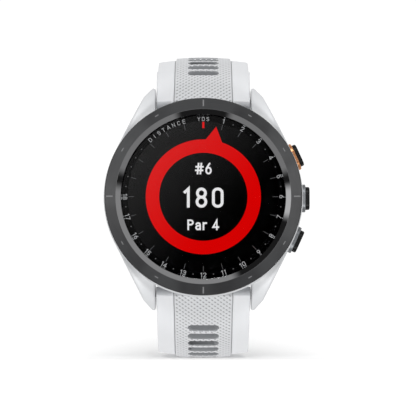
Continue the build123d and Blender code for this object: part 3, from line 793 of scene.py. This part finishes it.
def ribbon(line, half):
    """A band of four-sided faces round a centre line, with square ends and mitred corners."""
    line = [Vector(p) for p in line]
    closed = (line[0] - line[-1]).length < 1e-6
    if closed:
        line = line[:-1]
    count = len(line)
    points, faces = [], []
    for k, here in enumerate(line):
        before = line[k - 1] if k or closed else None
        after = line[(k + 1) % count] if k < count - 1 or closed else None
        inward = (here - before).normalized() if before is not None else (after - here).normalized()
        outward = (after - here).normalized() if after is not None else inward
        bisector = (inward + outward).normalized()
        side = Vector((-bisector.y, bisector.x)) * (half / max(0.35, bisector.dot(inward)))
        shift = Vector((0, 0))
        if before is None or after is None:
            shift = outward * (half if after is None else -half) * SQUARE_END
        points += [tuple(here + side + shift), tuple(here - side + shift)]
    for k in range(count if closed else count - 1):
        a, b = 2 * k, 2 * ((k + 1) % count)
        faces.append((a, a + 1, b + 1, b))
    return points, faces


SQUARE_END = 0.9


def flat_text(words, height, stroke, stretch=1.0, gap=0.2):
    """Text as points and faces in its own plane, centred, with capitals of the given height (mm).

    stroke is the strokes' width and gap the space between letters, as shares of the height.
    """
    patches, cursor = [], 0.0
    squeeze = 1.0 - stroke
    for letter in words:
        strokes, width = glyph(letter)
        for line in strokes:
            placed = [((cursor + px) * stretch, stroke / 2 + py * squeeze) for px, py in line]
            patches.append(ribbon(placed, stroke / 2))
        cursor += width + gap + stroke / stretch
    middle = (cursor - gap - stroke / stretch) * stretch / 2
    scale = height * MM
    return [([((px - middle) * scale, (py - 0.5) * scale) for px, py in points], faces)
            for points, faces in patches]


class Print:
    """Flat print or lit pixels gathered into one thin, closed mesh at the display's face."""

    def __init__(self, name, depth):
        self.name = name
        self.depth = depth
        self.points = []
        self.faces = []

    def add(self, points, faces):
        """Adds a flat patch given by (x, z) points in metres, with its back and its rim."""
        first, size = len(self.points), len(points)
        for depth in (self.depth, self.depth + PRINT_THICKNESS):
            self.points += [(x, depth, z) for x, z in points]
        edges = {}
        for face in faces:
            front = tuple(first + k for k in face)
            self.faces.append(front)
            self.faces.append(tuple(k + size for k in reversed(front)))
            for a, b in zip(front, front[1:] + front[:1]):
                edges[(a, b)] = edges.get((a, b), 0) + 1
        for a, b in edges:
            if (b, a) not in edges:
                self.faces.append((b, a, a + size, b + size))

    def words(self, text, height, radius=0.0, clock=0.0, outward=True, x=0.0, z=0.0, **style):
        """Adds text, either at (x, z) mm or at a radius and clock angle with its top outward or inward."""
        turn = -math.radians(clock) + (0 if outward else math.pi)
        spot = Vector((x, z)) * MM
        if radius:
            spot = Vector((math.sin(math.radians(clock)), math.cos(math.radians(clock)))) * (radius * MM)
        for points, faces in flat_text(text, height, **style):
            placed = [(spot.x + px * math.cos(turn) - py * math.sin(turn),
                       spot.y + px * math.sin(turn) + py * math.cos(turn)) for px, py in points]
            self.add(placed, faces)

    def sector(self, inner, outer, start, end, steps):
        """Adds a ring or a piece of one, between two radii (mm) and two clock angles."""
        points, faces = [], []
        closed = abs(end - start) >= 360
        count = steps if closed else steps + 1
        for k in range(count):
            angle = math.radians(start + (end - start) * k / steps)
            for radius in (inner, outer):
                points.append((radius * MM * math.sin(angle), radius * MM * math.cos(angle)))
        for k in range(steps):
            a, b = 2 * k, 2 * ((k + 1) % count)
            faces.append((a, a + 1, b + 1, b))
        self.add(points, faces)

    def tick(self, inner, outer, clock, width):
        """Adds a radial tick."""
        angle = math.radians(clock)
        along = Vector((math.sin(angle), math.cos(angle))) * MM
        across = Vector((along.y, -along.x)) * (width / 2)
        corners = [along * inner - across, along * outer - across,
                   along * outer + across, along * inner + across]
        self.add([tuple(c) for c in corners], [(0, 1, 2, 3)])

    def dot(self, radius, clock, size):
        """Adds a small round dot."""
        angle = math.radians(clock)
        x, z = radius * MM * math.sin(angle), radius * MM * math.cos(angle)
        outline = [(x + size / 2 * MM * math.sin(2 * math.pi * k / 10),
                    z + size / 2 * MM * math.cos(2 * math.pi * k / 10)) for k in range(10)]
        self.add(outline, [tuple(range(10))])

    def made(self):
        """The gathered mesh as an object."""
        return new_object(self.name, self.points, self.faces, smooth=False)


def lathe(name, profile, steps=256):
    """A solid of revolution about the dial's axis from (radius mm, depth metres) points."""
    points, faces = [], []
    for k in range(steps):
        angle = 2 * math.pi * k / steps
        for radius, depth in profile:
            points.append((radius * MM * math.sin(angle), depth, radius * MM * math.cos(angle)))
    size = len(profile)
    for k in range(steps):
        a, b = k * size, ((k + 1) % steps) * size
        for r in range(size):
            s = (r + 1) % size
            faces.append((a + r, b + r, b + s, a + s))
    return new_object(name, points, faces)


RED_RING = (9.39, 12.25)
POINTER_TIP = (15.2, 10.4)
POINTER_FEET = (2.3, 19.1)


def build_display():
    """The dark panel, set just behind the glass, and everything that it shows."""
    edge = DISPLAY_RADIUS / MM
    panel = lathe("display_face", [(0.4, FACE_TOP), (edge - 0.1, FACE_TOP), (edge, FACE_TOP + 0.1 * MM),
                                   (edge, DISPLAY_BACK), (0.4, DISPLAY_BACK)])
    plug_disc(panel)
    finished(sharpen(panel, 40), MATERIALS["display_black"], "case", ("display_panel",))

    red = glow("display_red", (0.72, 0.0006, 0.0006), 1.0)
    ring = Print("dial_pointer_ring", PIXEL_TOP)
    ring.sector(*RED_RING, 0, 360, 180)
    finished(ring.made(), red, "case")

    pointer = Print("dial_pointer", PIXEL_TOP)
    first, last = POINTER_FEET
    steps = 12
    feet = [dial_point(RED_RING[1] - 0.02, first + (last - first) * k / steps, 0) for k in range(steps + 1)]
    outline = [(p.x, p.z) for p in [dial_point(*POINTER_TIP, 0)] + feet]
    pointer.add(outline, [(0, k + 2, k + 1) for k in range(steps)])
    finished(pointer.made(), red, "case")

    noon = Print("dial_noon_tick", PIXEL_TOP)
    noon.tick(14.65, 16.0, 0, 0.45)
    finished(noon.made(), red, "case")

    readout = Print("dial_readout", PIXEL_TOP)
    readout.words("#6", 2.5, z=6.0, stroke=0.145, stretch=0.86, gap=0.14)
    readout.words("180", 4.3, z=-0.2, stroke=0.14, stretch=0.94, gap=0.25)
    readout.words("Par 4", 2.3, z=-6.0, stroke=0.155, stretch=0.94, gap=0.15)
    finished(readout.made(), glow("display_white", (0.86, 0.86, 0.87), 1.0), "case")

    ticks = Print("dial_ticks", PIXEL_TOP)
    for k in range(1, 24):
        ticks.tick(14.75, 15.9, k * 15, 0.11)
    finished(ticks.made(), glow("display_ticks", (0.085, 0.087, 0.09), 1.0), "case")


def build_glass_print():
    """The black border printed inside the glass, with its hole numbers, dots and words; the ink glows as
    painted light in place of lit ink.
    """
    width = BORDER[1] - BORDER[0]
    border = lathe("glass_border_print", [(BORDER[0], BORDER_TOP), (BORDER[0] + width, BORDER_TOP),
                                          (BORDER[1], BORDER_TOP + 0.03 * MM),
                                          (BORDER[0], BORDER_TOP + 0.03 * MM)])
    finished(border, MATERIALS["display_black"], "case")

    numbers = Print("glass_hole_numbers", INK_TOP)
    for hole in range(1, 19):
        numbers.words(str(hole), 0.98, 16.66, hole * 15, outward=hole <= 6,
                      stroke=0.12, stretch=1.2, gap=0.16)
    for k, letter in enumerate("DISTANCE"):
        numbers.words(letter, 0.86, 16.55, -43.0 + 28.6 * k / 7, stroke=0.11, stretch=1.35)
    for k, letter in enumerate("YDS"):
        numbers.words(letter, 0.84, 16.6, -3.3 + 3.3 * k, stroke=0.11, stretch=1.3)
    # The light ink glows: painted light in place of lit ink.
    finished(numbers.made(), glow("glass_ink_painted_glow", (0.42, 0.43, 0.44), 1.0), "case")

    dots = Print("glass_dots", INK_TOP)
    for clock in [22.5 + 15 * k for k in range(20)] + [285, 300]:
        dots.dot(16.6, clock, 0.26)
    # The grey dots glow too: painted light in place of lit ink.
    finished(dots.made(), glow("glass_ink_grey_painted_glow", (0.12, 0.122, 0.125), 1.0), "case")


def plug_disc(piece):
    """Closes the small hole that a lathe leaves on its axis, by drawing its innermost points together."""
    for v in piece.data.vertices:
        if math.hypot(v.co.x, v.co.z) < 0.5 * MM:
            v.co.x *= 0.001
            v.co.z *= 0.001


# ================================================================ bezel marks
def build_bezel_marks():
    """Grey paint in the engraved marks: long radial ones at the quarters, short dashes at the other hours."""
    depth = BEZEL_TOP + 0.025 * MM
    points, faces = [], []
    for hour in range(12):
        long_one = hour % 3 == 0
        along, across, radius = (0.69, 0.145, 19.9) if long_one else (0.095, 0.415, 19.8)
        angle = math.radians(30 * hour)
        out = Vector((math.sin(angle), 0, math.cos(angle)))
        side = Vector((math.cos(angle), 0, -math.sin(angle)))
        first = len(points)
        for level in (depth, depth + 0.06 * MM):
            for a, b in ((-1, -1), (1, -1), (1, 1), (-1, 1)):
                spot = (out * (radius + a * along) + side * (b * across)) * MM
                points.append((spot.x, level, spot.z))
        faces += [tuple(first + k for k in face) for face in
                  ((0, 1, 2, 3), (7, 6, 5, 4), (0, 4, 5, 1), (1, 5, 6, 2), (2, 6, 7, 3), (3, 7, 4, 0))]
    marks = new_object("bezel_mark_paint", points, faces, smooth=False)
    finished(marks, polymer("mark_paint", (0.15, 0.15, 0.155), 0.5), "case")


# ================================================================ floor, light and camera
CAMERA_DISTANCE = 0.400
CAMERA_HEIGHT = -0.0300
AIM = Vector((0.99 * MM, BEZEL_TOP, -2.51 * MM))
SENSOR = 36.0
VIEW_WIDTH = 0.0879


def build_floor():
    """A pale sweep: flat under the watch and rising very gently behind it."""
    points, faces = [], []
    rows = [(-0.5, 0.0), (0.036, 0.0), (0.05, 0.0006), (0.15, 0.0100),
            (0.2, 0.0125), (0.3, 0.014), (3.0, 0.014)]
    for y, rise in rows:
        for x in (-2.5, 2.5):
            points.append((x, y, FLOOR + rise))
    for k in range(len(rows) - 1):
        faces.append((2 * k, 2 * k + 1, 2 * k + 3, 2 * k + 2))
    floor = new_object("floor", points, faces)
    made = Shader("floor_paper", (0.74, 0.74, 0.74), 0.9)
    made.tint(made.noise(0.05, 3.0), 0.004)
    floor.data.materials.append(made.material)
    floor.visible_shadow = False
    floor.visible_diffuse = False
    floor.visible_glossy = False
    lit_alone = bpy.data.collections.new("floor_only")
    lit_alone.objects.link(floor)
    sky = bpy.data.lights.new("floor_sky", "SUN")
    sky.energy = FLOOR_LIGHT
    sky.angle = math.radians(100)
    holder = bpy.data.objects.new("floor_sky", sky)
    bpy.context.scene.collection.objects.link(holder)
    holder.light_linking.receiver_collection = lit_alone


def area_light(name, location, aim, width, height, power):
    light = bpy.data.lights.new(name, "AREA")
    light.shape = "RECTANGLE"
    light.size = width
    light.size_y = height
    light.energy = power
    holder = bpy.data.objects.new(name, light)
    holder.location = location
    holder.rotation_euler = (Vector(aim) - Vector(location)).to_track_quat("-Z", "Y").to_euler()
    bpy.context.scene.collection.objects.link(holder)
    return holder


def build_world():
    """A pale room with a dark front wall: a faint slanted sheen on it, and four cards round it."""
    world = bpy.data.worlds.new("studio")
    world.use_nodes = True
    tree = world.node_tree
    background = tree.nodes["Background"]

    def math_node(operation, a, b=0.0, c=0.0):
        made = tree.nodes.new("ShaderNodeMath")
        made.operation = operation
        for socket, value in zip(made.inputs, (a, b, c)):
            if isinstance(value, (int, float)):
                socket.default_value = value
            else:
                tree.links.new(value, socket)
        return made.outputs[0]

    def step(value, low, high, first=0.0, last=1.0):
        made = tree.nodes.new("ShaderNodeMapRange")
        made.interpolation_type = "SMOOTHSTEP"
        made.inputs["From Min"].default_value = low
        made.inputs["From Max"].default_value = high
        made.inputs["To Min"].default_value = first
        made.inputs["To Max"].default_value = last
        tree.links.new(value, made.inputs["Value"])
        return made.outputs["Result"]

    def mix(factor, a, b):
        return math_node("ADD", math_node("MULTIPLY", factor, b),
                         math_node("MULTIPLY", math_node("SUBTRACT", 1.0, factor), a))

    ways = tree.nodes.new("ShaderNodeSeparateXYZ")
    tree.links.new(tree.nodes.new("ShaderNodeTexCoord").outputs["Generated"], ways.inputs[0])
    x, y, z = ways.outputs["X"], ways.outputs["Y"], ways.outputs["Z"]
    off_front = math_node("MULTIPLY", math_node("ARCCOSINE", math_node("MULTIPLY", y, -1.0)), 180 / math.pi)
    clock = math_node("ADD", math_node("DIVIDE", math_node("ARCTAN2", x, z), 2 * math.pi), 0.5)

    cards = 0.02
    for middle, width, light in CARDS:
        away = math_node("ABSOLUTE", math_node("SUBTRACT", math_node("MULTIPLY", clock, 360.0), middle))
        card = step(away, (width - CARD_EDGE) / 2, (width + CARD_EDGE) / 2, light, 0.0)
        cards = math_node("ADD", cards, card)
    slant = math_node("SUBTRACT", math_node("MULTIPLY", math_node("SUBTRACT", z, SHEEN_START), SHEEN_RISE),
                      math_node("MULTIPLY", x, SHEEN_ACROSS))
    sheen = step(slant, -0.7, 2.0, 0.0, SHEEN_LIGHT)
    walls = step(off_front, 60.0, 110.0, FRONT_ROOM, REAR_ROOM)
    room = mix(step(off_front, 52.0, 60.0), cards, walls)
    front = mix(step(off_front, 12.0, 34.0), sheen, room)
    seen = tree.nodes.new("ShaderNodeLightPath").outputs["Is Camera Ray"]
    tree.links.new(mix(seen, front, 1.05), background.inputs["Strength"])
    background.inputs["Color"].default_value = (1.0, 1.0, 1.0, 1.0)
    bpy.context.scene.world = world


# Four broad cards round the front, for the polished chamfer to mirror: the middle and the width of each, as
# clock angles of the chamfer in degrees, and its light.
CARDS = [(50, 60, 0.3), (100, 20, 0.8), (215, 110, 0.4), (310, 60, 0.3)]
CARD_EDGE = 8
# The sheen on the glass: brighter to the upper left, from one slanted line in the front wall.
SHEEN_START = 0.074
SHEEN_RISE = 23.0
SHEEN_ACROSS = 23.5
SHEEN_LIGHT = 0.30
FRONT_ROOM = 0.15
REAR_ROOM = 0.95
FLOOR_LIGHT = 1.95
BOX_HEIGHT = 0.60
BOX_DISTANCE = 1.05
BOX_SIZE = (0.36, 0.12)
UPPER_POWER = 7.9
LOWER_POWER = 8.5


def build_light():
    """Two soft boxes in front, one above and one below, in the pale room."""
    build_world()
    boxes = (("upper_box", BOX_HEIGHT, UPPER_POWER), ("lower_box", -BOX_HEIGHT, LOWER_POWER))
    for name, height, power in boxes:
        area_light(name, (0.0, -BOX_DISTANCE, height), (0, 0, 0), *BOX_SIZE, power)


def build_camera():
    camera = bpy.data.cameras.new("camera")
    camera.sensor_width = SENSOR
    camera.lens = SENSOR * CAMERA_DISTANCE / VIEW_WIDTH
    camera.clip_start = 0.01
    camera.clip_end = 10.0
    holder = bpy.data.objects.new("camera", camera)
    holder.location = (0.0, BEZEL_TOP - CAMERA_DISTANCE, CAMERA_HEIGHT)
    holder.rotation_mode = "QUATERNION"
    holder.rotation_quaternion = (AIM - holder.location).to_track_quat("-Z", "Y")
    bpy.context.scene.collection.objects.link(holder)
    bpy.context.scene.camera = holder
    bpy.context.scene.view_settings.view_transform = "Standard"


build_straps()
build_display()
build_glass_print()
build_bezel_marks()
build_floor()
build_light()
build_camera()
